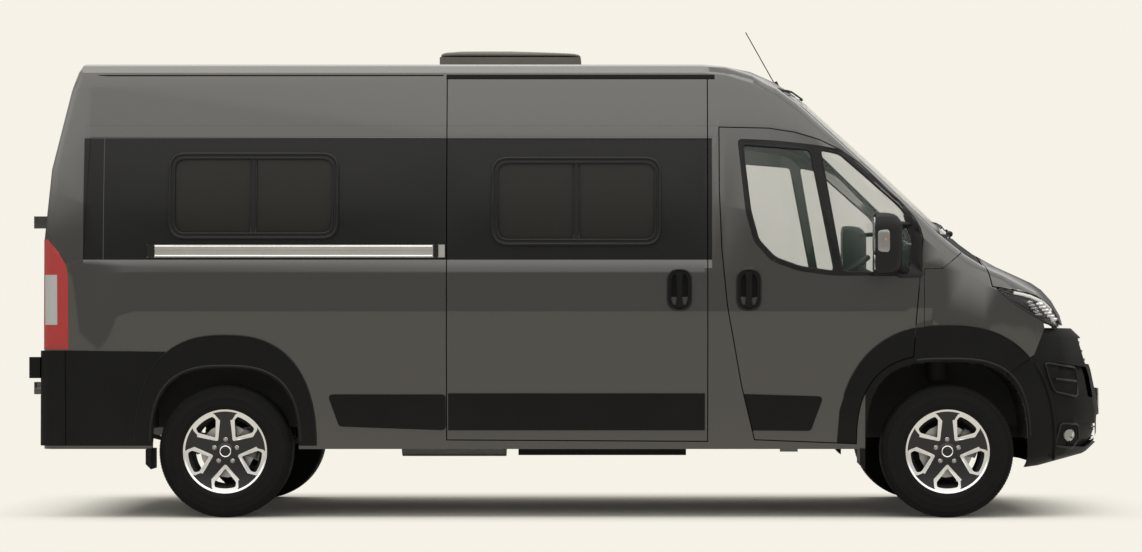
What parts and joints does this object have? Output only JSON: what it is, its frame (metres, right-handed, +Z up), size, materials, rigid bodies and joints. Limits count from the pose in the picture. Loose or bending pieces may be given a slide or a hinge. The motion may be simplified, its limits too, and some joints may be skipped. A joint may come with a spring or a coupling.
{
  "type": "camper van",
  "caption": "Panel van camper with high roof, opening doors, bonnet and roof vent, steered front wheels and free rolling wheels.",
  "frame": {"origin": "on the ground, under the middle of the vehicle's length and width", "axes": "+X forward, +Y to the vehicle's left, +Z up"},
  "size_m": [6.1, 2.52, 2.8115],
  "materials": {
    "paint": "metallic grey clearcoat",
    "underbody": "satin black underseal",
    "black_plastic": "satin grained black",
    "gloss_black": "gloss black",
    "cab_glass": "clear, slightly green",
    "dark_glass": "dark tinted acrylic window",
    "rear_glass": "dark privacy glass",
    "lamp_clear": "clear lamp lens",
    "lamp_red": "red lamp lens",
    "tyre": "matt black rubber",
    "alloy": "black alloy with bright edges",
    "steel": "bare machined steel",
    "cast": "cast iron",
    "silver": "anodised silver",
    "cabin_trim": "grained dark grey",
    "seat_cloth": "woven dark cloth",
    "white_plastic": "white plastic"
  },
  "bodies": {
    "body": {"antenna": "black_plastic", "body_trims": "black_plastic", "cowl": "black_plastic", "dashboard": "cabin_trim", "door_rail": "silver", "engine_block": "cast", "exhaust": "steel", "floor_pan": "underbody", "front_bumper": "black_plastic", "front_subframe": "underbody", "fuel_tank": "black_plastic", "grille": "gloss_black", "headlamps": "lamp_clear", "mud_flaps": "black_plastic", "rear_axle": "underbody", "rear_bumper": "black_plastic", "rear_hinges": "paint", "roof_panel": "paint", "seats": "seat_cloth", "side_panels": "paint", "side_windows": "dark_glass", "sliding_door": "paint", "sliding_door_trim": "black_plastic", "steering_wheel": "cabin_trim", "tail_lamps": "lamp_red", "vent_frame": "white_plastic", "window_frames": "black_plastic", "windscreen": "cab_glass", "wings": "paint", "wipers": "black_plastic"},
    "bonnet": {"bonnet": "paint"},
    "vent_lid": {"vent_lid": "white_plastic"},
    "front_door_left": {"door_glass_left": "cab_glass", "door_left": "paint", "door_trim_left": "black_plastic", "mirror_left": "black_plastic"},
    "rear_door_left": {"rear_door_left": "paint", "rear_glass_left": "rear_glass"},
    "knuckle_left": {"knuckle_left": "cast"},
    "wheel_front_left": {"hub_front_left": "steel", "rim_front_left": "alloy", "tyre_front_left": "tyre"},
    "wheel_rear_left": {"hub_rear_left": "steel", "rim_rear_left": "alloy", "tyre_rear_left": "tyre"},
    "front_door_right": {"door_glass_right": "cab_glass", "door_right": "paint", "door_trim_right": "black_plastic", "mirror_right": "black_plastic"},
    "rear_door_right": {"rear_door_right": "paint", "rear_glass_right": "rear_glass"},
    "knuckle_right": {"knuckle_right": "cast"},
    "wheel_front_right": {"hub_front_right": "steel", "rim_front_right": "alloy", "tyre_front_right": "tyre"},
    "wheel_rear_right": {"hub_rear_right": "steel", "rim_rear_right": "alloy", "tyre_rear_right": "tyre"}
  },
  "joints": [
    {"name": "door_hinge_left", "type": "hinge", "parent": "body", "child": "front_door_left", "pos_m": [1.953, 1.03, 1.2], "axis": [0, 0, -1], "range_deg": [0, 70]},
    {"name": "rear_door_hinge_left", "type": "hinge", "parent": "body", "child": "rear_door_left", "pos_m": [-3.026, 0.9, 1.4], "axis": [0, 0, -1], "range_deg": [0, 180]},
    {"name": "steer_left", "type": "hinge", "parent": "body", "child": "knuckle_left", "pos_m": [2.085, 0.8, 0.372], "axis": [0, 0, 1], "range_deg": [-35, 35]},
    {"name": "spin_front_left", "type": "hinge", "parent": "knuckle_left", "child": "wheel_front_left", "pos_m": [2.085, 0.905, 0.372], "axis": [0, 1, 0], "continuous": true},
    {"name": "spin_rear_left", "type": "hinge", "parent": "body", "child": "wheel_rear_left", "pos_m": [-1.95, 0.895, 0.372], "axis": [0, 1, 0], "continuous": true},
    {"name": "door_hinge_right", "type": "hinge", "parent": "body", "child": "front_door_right", "pos_m": [1.953, -1.03, 1.2], "axis": [0, 0, 1], "range_deg": [0, 70]},
    {"name": "rear_door_hinge_right", "type": "hinge", "parent": "body", "child": "rear_door_right", "pos_m": [-3.026, -0.9, 1.4], "axis": [0, 0, 1], "range_deg": [0, 180]},
    {"name": "steer_right", "type": "hinge", "parent": "body", "child": "knuckle_right", "pos_m": [2.085, -0.8, 0.372], "axis": [0, 0, 1], "range_deg": [-35, 35]},
    {"name": "spin_front_right", "type": "hinge", "parent": "knuckle_right", "child": "wheel_front_right", "pos_m": [2.085, -0.905, 0.372], "axis": [0, 1, 0], "continuous": true},
    {"name": "spin_rear_right", "type": "hinge", "parent": "body", "child": "wheel_rear_right", "pos_m": [-1.95, -0.895, 0.372], "axis": [0, 1, 0], "continuous": true},
    {"name": "bonnet_hinge", "type": "hinge", "parent": "body", "child": "bonnet", "pos_m": [2.296, 0, 1.53], "axis": [0, -1, 0], "range_deg": [0, 60]},
    {"name": "vent_hinge", "type": "hinge", "parent": "body", "child": "vent_lid", "pos_m": [-0.793, 0, 2.642], "axis": [0, -1, 0], "range_deg": [0, 50]}
  ],
  "couplings": [
    {"joint": "steer_right", "follows": "steer_left", "ratio": 1}
  ]
}
